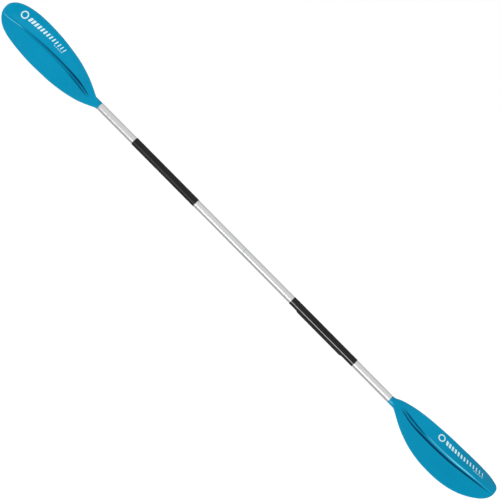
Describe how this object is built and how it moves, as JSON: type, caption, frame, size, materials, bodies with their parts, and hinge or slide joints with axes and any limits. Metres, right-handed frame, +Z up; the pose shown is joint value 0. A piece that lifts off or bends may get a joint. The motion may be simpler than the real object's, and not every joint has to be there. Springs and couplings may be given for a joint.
{
  "type": "kayak paddle",
  "caption": "Double-bladed two-piece kayak paddle: feathered spoon blades on a round metal shaft with hand grips and a snap-button centre joint.",
  "frame": {"origin": "middle of the bottom of the whole paddle's bounding box at rest; the shaft's axis passes 80.5 mm above it and 4.0 mm to +Y, and the centre joint is at x = 0", "axes": "+X along the shaft from the left blade to the right blade; +Z up, out of the right blade's power face, which lies level; +Y towards the blades' upper edges at the right blade"},
  "size_m": [2.2992, 0.1616, 0.1388],
  "materials": {
    "blade_blue": "moulded, satin gloss, cyan blue",
    "tube_silver": "drawn tube, clear anodised silver",
    "grip_black": "satin black sleeve",
    "pad_grey": "plain, dark grey",
    "bush_grey": "turned nylon, light grey",
    "ferrule_aluminium": "drawn tube, plain",
    "steel": "stainless steel",
    "plug_foam": "closed-cell foam, matt grey",
    "cap_black": "moulded, black"
  },
  "bodies": {
    "left_half": {"left_blade": "blade_blue", "left_tube": "tube_silver", "left_blade_rivet": "steel", "left_grip": "grip_black", "left_float_plug": "plug_foam", "ferrule_tube": "ferrule_aluminium", "ferrule_rivet_near_seam": "steel", "ferrule_rivet_far": "steel", "ferrule_cap": "cap_black", "button_spring": "steel"},
    "button": {"snap_button": "steel"},
    "bush": {"mouth_bush": "bush_grey"},
    "right_half": {"right_tube": "tube_silver", "right_blade": "blade_blue", "right_blade_rivet": "steel", "right_grip": "grip_black", "right_index_pad": "pad_grey", "right_float_plug": "plug_foam"}
  },
  "joints": [
    {"name": "button_travel", "type": "slide", "parent": "left_half", "child": "button", "axis": [0, 1, 0], "range_m": [0, 0.0046], "stiffness_N_per_m": 2500, "springref_m": 0.0066, "deforming": ["button_spring"]},
    {"name": "take_apart", "type": "slide", "parent": "left_half", "child": "bush", "axis": [1, 0, 0], "range_m": [0, 0.14]},
    {"name": "feather", "type": "hinge", "parent": "bush", "child": "right_half", "pos_m": [0, 0.00397, 0.08046], "axis": [1, 0, 0], "range_deg": [0, 120]}
  ]
}
